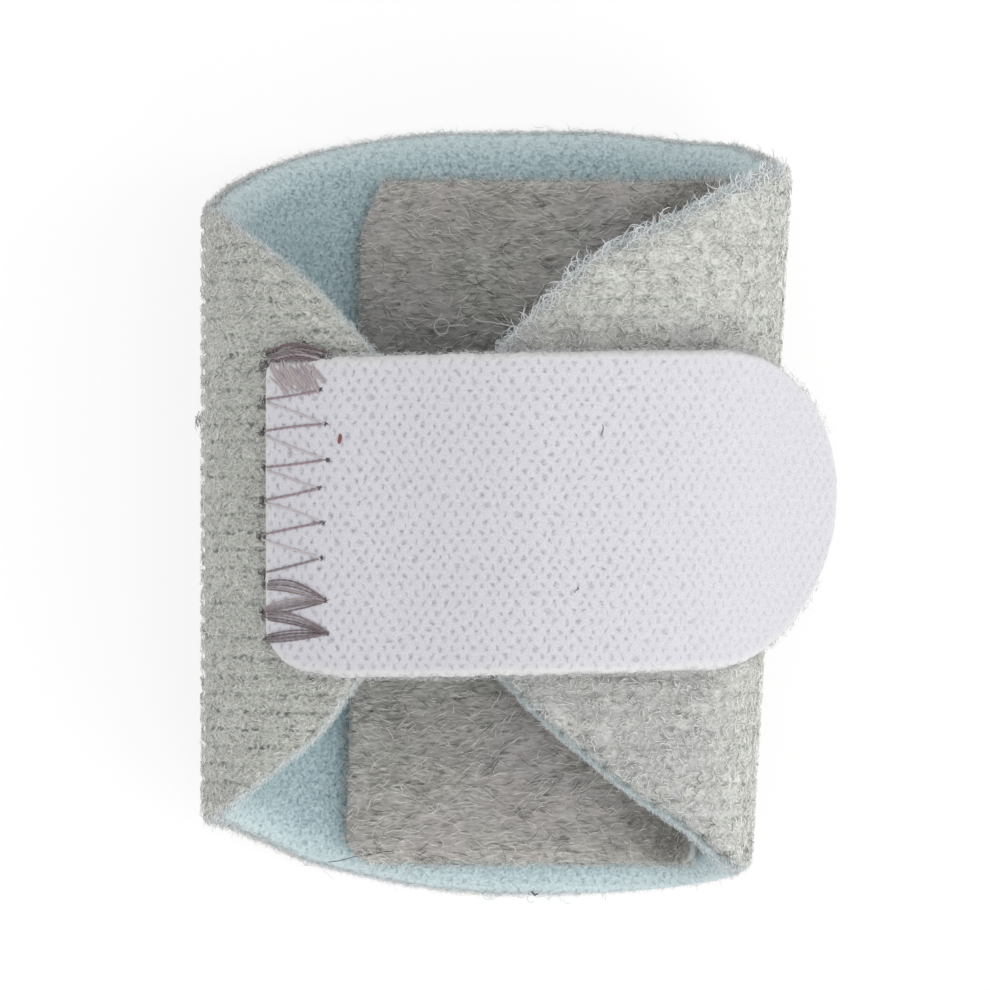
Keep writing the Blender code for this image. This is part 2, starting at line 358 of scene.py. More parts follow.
def mesh_from_arrays(name, points, polygons, slots=None, cloth=None):
    """Make a smooth-shaded mesh object from its points and lists of equal-sized faces.

    cloth holds each point's length, y and distance from the cut edge, for its material.
    """
    mesh = bpy.data.meshes.new(name)
    mesh.vertices.add(len(points))
    mesh.vertices.foreach_set("co", np.asarray(points, np.float32).ravel())
    sizes = np.concatenate([np.full(len(faces), faces.shape[1]) for faces in polygons])
    corners = np.concatenate([faces.ravel() for faces in polygons])
    mesh.loops.add(len(corners))
    mesh.loops.foreach_set("vertex_index", corners.astype(np.int32))
    mesh.polygons.add(len(sizes))
    mesh.polygons.foreach_set("loop_start", np.concatenate([[0], np.cumsum(sizes)[:-1]]).astype(np.int32))
    mesh.polygons.foreach_set("use_smooth", np.ones(len(sizes), bool))
    if slots is not None:
        mesh.polygons.foreach_set("material_index", slots.astype(np.int32))
    if cloth is not None:
        mesh.attributes.new("cloth", "FLOAT_VECTOR", "POINT").data.foreach_set("vector", cloth.ravel())
    mesh.update(calc_edges=True)
    piece = bpy.data.objects.new(name, mesh)
    bpy.context.collection.objects.link(piece)
    return piece


def spread(start, end, rim, rim_steps, steps):
    """Places from a start to an end, close together near both, where the edges are rounded."""
    turned = rim * (1 - np.cos(np.linspace(0, math.pi / 2, rim_steps + 1)))
    middle = np.linspace(rim, (end - start) - rim, steps + 1)[1:-1]
    return start + np.concatenate([turned, middle, (end - start) - turned[::-1]])


def cloth_wall(name, line, lengths, nears, fars, front, back, rim, rows, depth, drift, slant=0.0,
               crush=(0.0, 0.0)):
    """Closed wall of cloth between two distances off a line, thinned to a soft edge all round.

    Its front is the finely shaped side, and depth gives how far its relief lies under that distance, with
    the pattern moved by drift. slant is how far along the line it shifts for its y, and crush how far
    its front and back move off the line toward the cut edges.
    """
    widths = fars - nears
    shares = [spread(0.0, width, min(rim, 0.45 * width), RIM_STEPS, rows) for width in widths]
    y = nears[:, None] + np.array(shares)
    length = lengths[:, None] + 0 * y
    near_slope = np.cos(np.arctan(np.gradient(nears, lengths)))[:, None]
    far_slope = np.cos(np.arctan(np.gradient(fars, lengths)))[:, None]
    to_edge = np.minimum((y - nears[:, None]) * near_slope, (fars[:, None] - y) * far_slope)
    to_edge = np.minimum(to_edge, np.minimum(length - lengths[0], lengths[-1] - length))
    pinch = np.sqrt(1 - (1 - np.clip(to_edge / rim, 0, 1)) ** 2)
    pinch[:, [0, -1]] = 0.0
    pinch[[0, -1], :] = 0.0
    outward = (line is SECTION) == (front > back)
    crushed = np.clip(1 - to_edge / CRUSH_REACH, 0.0, 1.0) ** 2
    front = front + crush[0] * crushed
    back = back + crush[1] * crushed
    half = (front - back) / 2
    length = length + slant * y
    pattern_length, pattern_y = drift(length, y)
    relief = depth(pattern_length, pattern_y)
    front_off = back + half + pinch * (half - np.sign(half) * relief)
    back_off = back + half - pinch * half
    columns, count = y.shape
    front_index = np.arange(columns * count).reshape(columns, count)
    back_index = front_index.copy()
    inner = (columns - 2, count - 2)
    back_index[1:-1, 1:-1] = columns * count + np.arange(inner[0] * inner[1]).reshape(inner)
    front_points = place(line, length, front_off, y).reshape(-1, 3)
    back_points = place(line, length, back_off, y)[1:-1, 1:-1].reshape(-1, 3)
    points = np.concatenate([front_points, back_points])
    faces = []
    for index, turned in ((front_index, False), (back_index, True)):
        corners = [index[:-1, :-1], index[1:, :-1], index[1:, 1:], index[:-1, 1:]]
        quads = np.stack(corners, -1).reshape(-1, 4)
        faces.append(quads[:, ::-1] if turned != outward else quads)
    cloth = np.stack([pattern_length, pattern_y, to_edge], axis=-1)
    cloth = np.concatenate([cloth.reshape(-1, 3), cloth[1:-1, 1:-1].reshape(-1, 3)]).astype(np.float32)
    return mesh_from_arrays(name, points, faces, cloth=cloth)


def strands(name, line, spines, radii, tones, sides=3):
    """Tubes with pointed ends along spines of (length, y, off) points by a line.

    All spines have the same count of points; tones picks each one's material slot.
    """
    run = np.gradient(spines, axis=1)
    level = run[..., :2]
    chord = (spines[:, -1:] - spines[:, :1])[..., :2] + 0 * level
    size = np.linalg.norm(level, axis=-1, keepdims=True)
    steep = size < 0.3 * np.linalg.norm(run, axis=-1, keepdims=True)
    level = np.where(steep, chord, level)
    beside = np.stack([-level[..., 1], level[..., 0], 0 * level[..., 0]], axis=-1)
    beside /= np.linalg.norm(beside, axis=-1, keepdims=True)
    above = np.cross(run, beside)
    above /= np.linalg.norm(above, axis=-1, keepdims=True)
    angles = math.pi / 2 + 2 * math.pi / sides * np.arange(sides)
    girth = np.cos(angles)[:, None] * beside[:, 1:-1, None]
    girth = girth + np.sin(angles)[:, None] * above[:, 1:-1, None]
    ring_points = spines[:, 1:-1, None] + radii[:, 1:-1, None, None] * girth
    count, rings = ring_points.shape[:2]
    ring_points = ring_points.reshape(count, rings * sides, 3)
    local = np.concatenate([spines[:, :1], ring_points, spines[:, -1:]], axis=1)
    per_strand = rings * sides + 2
    template = []
    for corner in range(sides):
        following = (corner + 1) % sides
        template.append((0, 1 + following, 1 + corner))
        for first in range(1, 1 + sides * (rings - 1), sides):
            template.append((first + corner, first + following, first + sides + following))
            template.append((first + corner, first + sides + following, first + sides + corner))
        last = per_strand - 1 - sides
        template.append((last + corner, last + following, per_strand - 1))
    faces = (np.arange(count) * per_strand)[:, None, None] + np.array(template)[None]
    faces = faces.reshape(-1, 3)
    if line is SECTION:
        faces = faces[:, ::-1]
    flat = local.reshape(-1, 3)
    points = place(line, flat[:, 0], flat[:, 2], flat[:, 1])
    return mesh_from_arrays(name, points, [faces], np.repeat(tones, len(template)))


def fibres(name, line, length, off, y, heading, size, width, curl, loft, tones, rings=2):
    """Field of fine lying fibres, one for each place on a line's surface.

    heading is the way that each runs, 0 along the line; curl is how far it turns on its way, and loft
    how high its middle stands. tones picks its material slot.
    """
    t = np.linspace(0.0, 1.0, rings + 2)
    turn = heading[:, None] + curl[:, None] * (t - 0.5)
    step = size[:, None] / (rings + 1)
    across = np.cumsum(np.cos(turn), axis=1) * step
    along = np.cumsum(np.sin(turn), axis=1) * step
    across -= across.mean(axis=1, keepdims=True)
    along -= along.mean(axis=1, keepdims=True)
    height = off[:, None] + loft[:, None] * np.sin(math.pi * t)
    spines = np.stack([length[:, None] + across, y[:, None] + along, height], axis=-1)
    return strands(name, line, spines, width[:, None] / 2 + 0 * t, tones)


def strip_lengths(start, end, start_radius, end_radius, step):
    """Lengths of a strip's columns, close together round the corners at both ends."""
    parts = []
    for radius in (start_radius, end_radius):
        steps = max(10, round(math.pi / 2 * radius / step))
        parts.append(radius * (1 - np.cos(np.linspace(FIRST_TURN, math.pi / 2, steps))))
    middle = np.arange(start + start_radius + step, end - end_radius - step / 2, step)
    return np.concatenate([start + parts[0], middle, (end - parts[1])[::-1]])


def strip_loss(lengths, start, end, start_radius, end_radius):
    """Width that a strip's round corners take off each side."""
    loss = 0.0
    for distance, radius in ((lengths - start, start_radius), (end - lengths, end_radius)):
        inside = np.clip(radius - distance, 0.0, radius)
        loss = loss + radius - np.sqrt(radius ** 2 - inside ** 2)
    return loss


def srgb(red, green, blue):
    """Linear colour of three screen values from 0 to 255."""
    channels = np.array([red, green, blue]) / 255
    linear = np.where(channels <= 0.04045, channels / 12.92, ((channels + 0.055) / 1.055) ** 2.4)
    return (*(float(value) for value in linear), 1.0)


def new_material(name, roughness, sheen=0.0):
    """Cloth material without specular gloss; returns it with its node tree and shader."""
    material = bpy.data.materials.new(name)
    material.use_nodes = True
    tree = material.node_tree
    shader = tree.nodes["Principled BSDF"]
    shader.inputs["Roughness"].default_value = roughness
    shader.inputs["Specular IOR Level"].default_value = 0.15
    shader.inputs["Sheen Weight"].default_value = sheen
    shader.inputs["Sheen Roughness"].default_value = 0.5
    return material, tree, shader


def feed(tree, kind, wires, **settings):
    """Add a node, set its own settings, and feed its inputs with values or other nodes' sockets."""
    added = tree.nodes.new(kind)
    for key, value in settings.items():
        setattr(added, key, value)
    for key, value in wires.items():
        if isinstance(value, bpy.types.NodeSocket):
            tree.links.new(value, added.inputs[key])
        else:
            added.inputs[key].default_value = value
    return added


def spots(tree, size, detail=2.0, stretch=(1.0, 1.0, 1.0)):
    """Noise socket with features of a size in metres, drawn out by the stretch along each axis."""
    coordinates = feed(tree, "ShaderNodeTexCoord", {}).outputs["Object"]
    scale = tuple(1 / (size * along) for along in stretch)
    mapped = feed(tree, "ShaderNodeMapping", {"Vector": coordinates, "Scale": scale}).outputs["Vector"]
    wires = {"Vector": mapped, "Scale": 1.0, "Detail": detail}
    return feed(tree, "ShaderNodeTexNoise", wires).outputs["Fac"]


def between(tree, value, low, high, start=0.0, end=1.0):
    """Socket of a value moved from one range to another, and held inside it."""
    wires = {"Value": value, "From Min": low, "From Max": high, "To Min": start, "To Max": end}
    return feed(tree, "ShaderNodeMapRange", wires).outputs["Result"]


def blend(tree, share, first, second):
    """Socket of two colours mixed by a share."""
    mixed = feed(tree, "ShaderNodeMix", {}, data_type="RGBA")
    for socket, value in ((mixed.inputs[0], share), (mixed.inputs[6], first), (mixed.inputs[7], second)):
        if isinstance(value, bpy.types.NodeSocket):
            tree.links.new(value, socket)
        else:
            socket.default_value = value
    return mixed.outputs[2]


def times(tree, first, second):
    """Socket of two values multiplied."""
    return feed(tree, "ShaderNodeMath", {0: first, 1: second}, operation="MULTIPLY").outputs[0]


def plus(tree, first, second):
    """Socket of two values added."""
    return feed(tree, "ShaderNodeMath", {0: first, 1: second}, operation="ADD").outputs[0]


def bumped(tree, shader, height, distance, strength=1.0):
    """Give a shader fine relief from a height socket."""
    wires = {"Height": height, "Distance": distance, "Strength": strength}
    tree.links.new(feed(tree, "ShaderNodeBump", wires).outputs["Normal"], shader.inputs["Normal"])


def cloth_parts(tree, wander=0.0, size=0.5 * MM):
    """Sockets of a point's length and y, wandering by an amount, and distance from the cut edge."""
    where = feed(tree, "ShaderNodeAttribute", {}, attribute_name="cloth").outputs["Vector"]
    parts = feed(tree, "ShaderNodeSeparateXYZ", {0: where}).outputs
    sockets = []
    for number in range(2):
        apart = (number * 50.0 * MM, 0.0, 0.0)
        shifted = feed(tree, "ShaderNodeVectorMath", {0: where, 1: apart}, operation="ADD")
        wires = {"Vector": shifted.outputs[0], "Scale": 1 / size, "Detail": 1.0}
        noise = feed(tree, "ShaderNodeTexNoise", wires).outputs["Fac"]
        sockets.append(plus(tree, parts[number], between(tree, noise, 0.25, 0.75, -wander, wander)))
    return sockets[0], sockets[1], parts[2]


def wave(tree, value, pitch):
    """Cosine of a length, once round for each pitch."""
    turns = times(tree, value, 2 * math.pi / pitch)
    return feed(tree, "ShaderNodeMath", {0: turns}, operation="COSINE").outputs[0]


def dots(tree, length, y, pitch, row, low):
    """The same staggered dots as the function of that name gives, as a socket, from a lower limit up."""
    return between(tree, times(tree, wave(tree, length, pitch), wave(tree, y, 2 * row)), low, 0.95)


def pile_material(name, light, dark, pit, edge, grain_size, stretch, ribs):
    """Loop pile: light tops and an edge of another colour. With ribs it has painted shade in its broken
    grooves and in the gaps between its loops, a painted shadow of the strap and painted light toward the
    right flap's end; without ribs, painted shade in its pits, beside the right flap's edges and beside
    the strap.
    """
    material, tree, shader = new_material(name, 0.95, 0.25)
    length, y, to_edge = cloth_parts(tree, 0.17 * MM, 0.45 * MM)
    fine = spots(tree, grain_size, 3.0, stretch)
    ground = blend(tree, between(tree, fine, 0.35, 0.65), dark, light)
    cloudy = between(tree, spots(tree, 3.0 * MM), 0.35, 0.7, 0.0, 0.4)
    ground = blend(tree, cloudy, ground, dark)
    if ribs:
        # painted shade in the grooves between the ribs, weaker toward the right flap's end but kept
        # strong along its near cut edge
        groove = between(tree, wave(tree, y, RIB_PITCH), 0.45, 1.0)
        broken = between(tree, spots(tree, 0.36 * MM, 1.5, (1.1, 1.0, 1.1)), 0.44, 0.6)
        grouped = between(tree, spots(tree, 2.5 * MM, 1.0), 0.35, 0.6, 0.35, 1.0)
        flap = between(tree, length, SIDES[1] + 2 * MM, SIDES[1] + 7 * MM, 1.0, 0.4)
        near_edge = between(tree, to_edge, 0.6 * MM, 1.1 * MM, 0.8, 0.0)
        near_edge = times(tree, near_edge, between(tree, y, -2 * MM, -1 * MM, 1.0, 0.0))
        flap = feed(tree, "ShaderNodeMath", {0: flap, 1: near_edge}, operation="MAXIMUM").outputs[0]
        # painted light: the right flap's ground turns paler toward its end, where light from the right
        # falls on it
        right_flap_light = between(tree, length, SIDES[1] + 2 * MM, SIDES[1] + 6 * MM, 0.0, 0.2)
        ground = blend(tree, right_flap_light, ground, srgb(246, 247, 242))
        # painted shade in the small gaps between the pile's loops
        loop_gap_shade = times(tree, between(tree, spots(tree, 0.28 * MM, 2.0, (1.6, 0.8, 1.6)), 0.55, 0.7), 0.5)
        ground = blend(tree, loop_gap_shade, ground, pit)
        # painted shadow of the raised strap on the right flap: a darker band just past the strap's far
        # edge
        strap_shadow = between(tree, y, STRAP_WIDTH / 2 + 0.8 * MM, STRAP_WIDTH / 2 + 3.2 * MM, 0.55, 0.0)
        strap_shadow = times(tree, strap_shadow, between(tree, length, SIDES[1] + 5 * MM, SIDES[1] + 9 * MM))
        strap_shadow = times(tree, strap_shadow, between(tree, spots(tree, 1.5 * MM, 2.0), 0.3, 0.55, 0.3, 1.0))
        ground = blend(tree, strap_shadow, ground, srgb(166, 165, 170))
        # painted shade: the grooves take the dark pit colour
        groove = times(tree, times(tree, groove, broken), times(tree, grouped, flap))
        ground = blend(tree, groove, ground, pit)
    else:
        tinged = between(tree, spots(tree, 5.0 * MM, 1.0), 0.42, 0.62, 0.0, 0.4)
        ground = blend(tree, tinged, ground, srgb(190, 180, 184))
        # painted shade in the dark pits between the pile's tufts
        ground = blend(tree, between(tree, spots(tree, 0.5 * MM, 2.0, stretch), 0.59, 0.8), ground, pit)
        # painted shade on the pocket's pile beside the right flap's cut edges and beside the strap's far
        # edge
        apart = feed(tree, "ShaderNodeMath", {0: y}, operation="ABSOLUTE").outputs[0]
        apart = plus(tree, length, times(tree, apart, -FLAP_SLOPE))
        shade = between(tree, apart, SHADE_START, SHADE_END, 0.0, SHADE_SHARE)
        beside = between(tree, y, STRAP_WIDTH / 2 + 0.5 * MM, STRAP_WIDTH / 2 + 4 * MM, SHADE_SHARE, 0.0)
        beside = times(tree, beside, between(tree, y, 0.0, 1 * MM))
        shade = feed(tree, "ShaderNodeMath", {0: shade, 1: beside}, operation="MAXIMUM").outputs[0]
        ground = blend(tree, shade, ground, pit)
    rim = between(tree, to_edge, 0.02 * MM, 0.16 * MM, 1.0, 0.0)
    tree.links.new(blend(tree, rim, ground, edge), shader.inputs["Base Color"])
    bumped(tree, shader, fine, 0.12 * MM)
    return material


def lining_material():
    """Pale blue brushed knit with painted shade in its small staggered pits, paler toward its cut edge.
    """
    material, tree, shader = new_material("lining_blue", 0.95, 0.3)
    length, y, to_edge = cloth_parts(tree, 0.26 * MM, 0.6 * MM)
    fine = spots(tree, 0.2 * MM, 3.0)
    ground = blend(tree, between(tree, fine, 0.35, 0.65), srgb(148, 171, 178), srgb(198, 215, 219))
    # painted shade in the knit's small staggered pits
    pits = dots(tree, length, y, KNIT_PITCH, KNIT_ROW, 0.25)
    broken = between(tree, spots(tree, 0.2 * MM, 2.0, (1.3, 0.8, 1.0)), 0.4, 0.62, 0.0, 0.8)
    pits = times(tree, pits, broken)
    ground = blend(tree, pits, ground, srgb(124, 147, 155))
    cloudy = between(tree, spots(tree, 4.0 * MM), 0.35, 0.65, 0.0, 0.35)
    ground = blend(tree, cloudy, ground, srgb(176, 198, 200))
    rim = between(tree, to_edge, 0.0, 1.8 * MM, 0.4, 0.0)
    tree.links.new(blend(tree, rim, ground, srgb(220, 230, 230)), shader.inputs["Base Color"])
    height = feed(tree, "ShaderNodeMath", {0: fine, 1: pits}, operation="SUBTRACT").outputs[0]
    bumped(tree, shader, height, 0.08 * MM)
    return material


def strap_material():
    """Off-white knitted tape, with painted shade in the dimples between its loops, fainter toward its
    round end.
    """
    material, tree, shader = new_material("strap_white", 0.9, 0.2)
    length, y, to_edge = cloth_parts(tree, 0.1 * MM, 0.4 * MM)
    fine = spots(tree, 0.1 * MM, 3.0)
    ground = blend(tree, between(tree, fine, 0.3, 0.7), srgb(202, 201, 207), srgb(221, 220, 227))
    # painted shade in the dimples between the knitted loops
    soft = times(tree, dots(tree, length, y, LOOP_PITCH, LOOP_ROW, 0.1), 0.45)
    broken = between(tree, spots(tree, 0.13 * MM, 2.0, (1.8, 0.8, 1.0)), 0.42, 0.62)
    strokes = times(tree, dots(tree, length, y, LOOP_PITCH, LOOP_ROW, 0.35), broken)
    pits = feed(tree, "ShaderNodeMath", {0: soft, 1: strokes}, operation="MAXIMUM").outputs[0]
    # painted light: the dimples' shade fades toward the round end, which the light from the right reaches
    # more
    pits = times(tree, pits, between(tree, length, 20 * MM, 33 * MM, 1.0, 0.3))
    ground = blend(tree, pits, ground, srgb(156, 156, 164))
    rim = between(tree, to_edge, 0.1 * MM, 0.7 * MM, 0.7, 0.0)
    tree.links.new(blend(tree, rim, ground, srgb(222, 222, 218)), shader.inputs["Base Color"])
    bumped(tree, shader, fine, 0.05 * MM)
    return material


def plain_material(name, colour, other, size, roughness=0.85):
    """Yarn or tape of one colour with slight changes along it."""
    material, tree, shader = new_material(name, roughness, 0.15)
    tree.links.new(blend(tree, spots(tree, size), colour, other), shader.inputs["Base Color"])
    return material


def fibre_tones(name, *colours):
    """One plain material for each tone of a field of fibres."""
    tones = []
    for number, colour in enumerate(colours):
        darker = tuple(0.8 * channel for channel in colour[:3]) + (1.0,)
        tones.append(plain_material(f"{name}_{number}", colour, darker, 0.8 * MM, 0.7))
    return tones


def dress(piece, materials, slot, *nodes):
    """Give a piece its materials and its body, and hide the solids that it stands for. Its slot is not
    used.
    """
    for material in materials:
        piece.data.materials.append(material)
    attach(piece, "root")
    if nodes:
        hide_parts(*nodes)
    return piece


def proud_edges(lengths):
    """Cut edges of the lining, which stands out under the right flap's near edge."""
    return laminate_edges(lengths, LINING_PROUD)


def uncovered(field):
    """The fibres of a field on the wrap that the strap doesn't hide."""
    x = np.interp(field["length"], SECTION.length, SECTION.x)
    z = np.interp(field["length"], SECTION.length, SECTION.z)
    hidden = (z > SIDE_HEIGHT) & (x > -STRAP_START + 1.5 * MM) & (x < STRAP_LEAVES_AT)
    hidden &= np.abs(field["y"] - STRAP_SKEW * x) < STRAP_WIDTH / 2 - 1.5 * MM
    kept = dict(field)
    for key, value in field.items():
        if isinstance(value, np.ndarray):
            kept[key] = value[~hidden]
    return kept


def scatter(count, low, high, edges, off, heading_spread, sizes, widths, curl, loft, shares, pitch=None):
    """Random places and shapes for fibres on the laminate, between two lengths and two edges.

    With a pitch, the fibres gather on the ribs between grooves that far apart.
    """
    length = RANDOM.uniform(low, high, count)
    nears, fars = edges(length)
    y = RANDOM.uniform(-BACK_LENGTH / 2, BACK_LENGTH / 2, count)
    if pitch:
        y = pitch * (np.floor(y / pitch) + 0.5 + RANDOM.normal(0, 0.2, count))
    kept = (y > nears) & (y < fars)
    length = length[kept]
    y = y[kept]
    count = len(length)
    sway = 0.6 * grain(length / (2.5 * MM), y / (1.8 * MM), 61) + math.pi * RANDOM.integers(0, 2, count)
    return dict(line=SECTION, length=length, off=np.full(count, off), y=y,
                heading=sway + RANDOM.normal(0, heading_spread, count),
                size=RANDOM.uniform(*sizes, count), width=RANDOM.uniform(*widths, count),
                curl=RANDOM.normal(0, curl, count), loft=loft * RANDOM.uniform(0.3, 1.0, count),
                tones=RANDOM.choice(len(shares), count, p=shares))


def crushed_in(field, edges, rise):
    """How far fibres on the laminate move off with it near its cut edges."""
    nears, fars = edges(field["length"])
    slope = (np.array(edges(field["length"] + 0.1 * MM)) - (nears, fars)) / (0.1 * MM)
    near_gap, far_gap = np.array([field["y"] - nears, fars - field["y"]]) * np.cos(np.arctan(slope))
    return rise * np.clip(1 - np.minimum(near_gap, far_gap) / CRUSH_REACH, 0.0, 1.0) ** 2


def edge_fringe(count, line, low, high, edges, far, offs, sizes, widths, reach, shares):
    """Random fibres along one cut edge of a strip, most of them lying along it and some standing out."""
    length = RANDOM.uniform(low, high, count)
    edge = edges(length)[1 if far else 0]
    slope = edges(length + 0.2 * MM)[1 if far else 0] - edge
    out = (1 if far else -1) * reach * RANDOM.normal(0, 1, count)
    return dict(line=line, length=length, off=RANDOM.uniform(*offs, count), y=edge + out,
                heading=np.arctan2(slope, 0.2 * MM) + RANDOM.normal(0, 0.8, count),
                size=RANDOM.uniform(*sizes, count), width=RANDOM.uniform(*widths, count),
                curl=RANDOM.normal(0, 1.6, count), loft=np.zeros(count),
                tones=RANDOM.choice(len(shares), count, p=shares))


def build_wrap():
    lengths = spread(*FLAP_ENDS, 0.5 * MM, RIM_STEPS, 130)
    nears, fars = laminate_edges(lengths)
    grey = pile_material("outer_pile", srgb(226, 227, 221), srgb(176, 178, 172), srgb(104, 108, 103),
                         srgb(208, 218, 220), 0.22 * MM, (1.0, 0.7, 1.0), ribs=True)
    wrap = cloth_wall("wrap_pile", SECTION, lengths, nears, fars, 0.0, -PILE_THICKNESS - 0.6 * LAYER_GAP,
                      0.45 * MM, 180, rib_depth, drifting(0.16 * MM, 3.5 * MM, 11),
                      crush=(0.0, PILE_CRUSH))
    dress(wrap, [grey], "outer_pile", "outer_wrap")
    tones = fibre_tones("outer_fibre", srgb(253, 253, 250), srgb(234, 235, 229), srgb(150, 153, 148))
    fields = []
    thin = mm(0.035, 0.06)
    thick = mm(0.045, 0.08)
    left = (FLAP_ENDS[0], -1.25 * FLAT_HALF_WIDTH)
    right = (1.25 * FLAT_HALF_WIDTH, FLAP_ENDS[1])
    for side, (low, high), count, turned, pitch, widths, shares in (
            ("left", left, 16000, 0.55, RIB_PITCH, thin, (0.5, 0.43, 0.07)),
            ("right", right, 12000, 1.0, None, thick, (0.55, 0.4, 0.05)),
            ("right_ribs", right, 7000, 0.6, RIB_PITCH, thin, (0.6, 0.35, 0.05))):
        field = scatter(count, low, high, laminate_edges, -0.06 * MM, turned,
                        mm(0.45, 1.15), widths, 1.9, 0.26 * MM, shares, pitch)
        fields.append(dress(fibres(f"pile_fibres_{side}", **uncovered(field)), tones, "outer_pile"))
    blues = fibre_tones("edge_fibre", srgb(248, 250, 251), srgb(226, 235, 238), srgb(186, 203, 209))
    for edge, far in (("near", False), ("far", True)):
        for layer, count, offs, colours in (
                ("pile", 6000, mm(-0.5, -0.02), tones),
                ("lining", 5000, (LINING_CRUSH - LAMINATE_DEPTH, -0.42 * MM), blues)):
            fringe = edge_fringe(count, SECTION, *FLAP_ENDS, laminate_edges, far, offs,
                                 mm(0.35, 0.9), mm(0.03, 0.045), 0.1 * MM, (0.5, 0.45, 0.05))
            if layer == "pile":
                # painted shade: on the right flap's near cut edge, pile fibres at the ends of the grooves
                # take the dark tone
                groove = np.cos(2 * math.pi * fringe["y"] / RIB_PITCH) > 0.6
                groove &= (fringe["length"] > SIDES[1]) & (RANDOM.uniform(0, 1, count) < 0.7) & (not far)
                fringe["tones"][groove] = 2
            fringe = fibres(f"edge_fibres_{layer}_{edge}", rings=1, **fringe)
            fields.append(dress(fringe, colours, "outer_pile"))
        wisps = edge_fringe(380, SECTION, *FLAP_ENDS, laminate_edges, far, mm(-0.9, 0.05),
                            mm(0.7, 1.5), mm(0.025, 0.04), 0.2 * MM, (0.6, 0.35, 0.05))
        wisps["curl"] *= 2
        fields.append(dress(fibres(f"edge_wisps_{edge}", rings=4, **wisps), blues, "outer_pile"))
    curls = edge_fringe(480, SECTION, SIDES[1] + 3 * MM, FLAP_ENDS[1], laminate_edges, True,
                        mm(-0.5, 0.35), mm(0.9, 2.1), mm(0.045, 0.065), 0.28 * MM, (0.75, 0.2, 0.05))
    curls["curl"] *= 2.2
    fields.append(dress(fibres("edge_curls", rings=5, **curls), blues, "outer_pile"))
    proud_fringe = edge_fringe(2500, SECTION, SIDES[1] - 3 * MM, FLAP_ENDS[1], proud_edges, False,
                               (LINING_CRUSH - LAMINATE_DEPTH, -0.5 * MM), mm(0.3, 0.7),
                               mm(0.03, 0.045), 0.06 * MM, (0.45, 0.4, 0.15))
    fields.append(dress(fibres("edge_fibres_proud", rings=1, **proud_fringe), blues, "lining"))
    return wrap, fields


def build_lining():
    lengths = spread(*FLAP_ENDS, 0.4 * MM, RIM_STEPS, 90)
    nears, fars = proud_edges(lengths)
    lining = cloth_wall("lining_cloth", SECTION, lengths, nears, fars, -LAMINATE_DEPTH,
                        -PILE_THICKNESS - 0.7 * LAYER_GAP, 0.4 * MM, 70, brushed_depth,
                        drifting(0.12 * MM, 0.8 * MM, 23), crush=(LINING_CRUSH, PILE_CRUSH))
    dress(lining, [lining_material()], "lining", "lining")
    tones = fibre_tones("lining_fibre", srgb(202, 217, 221), srgb(170, 190, 196), srgb(128, 149, 157))
    field = scatter(12000, *FLAP_ENDS, laminate_edges, -LAMINATE_DEPTH + 0.03 * MM, 1.2,
                    mm(0.25, 0.6), mm(0.025, 0.04), 1.6, -0.12 * MM, (0.45, 0.43, 0.12))
    field["off"] += crushed_in(field, laminate_edges, LINING_CRUSH)
    fuzz = dress(fibres("lining_fibres", rings=1, **field), tones, "lining")
    return lining, fuzz


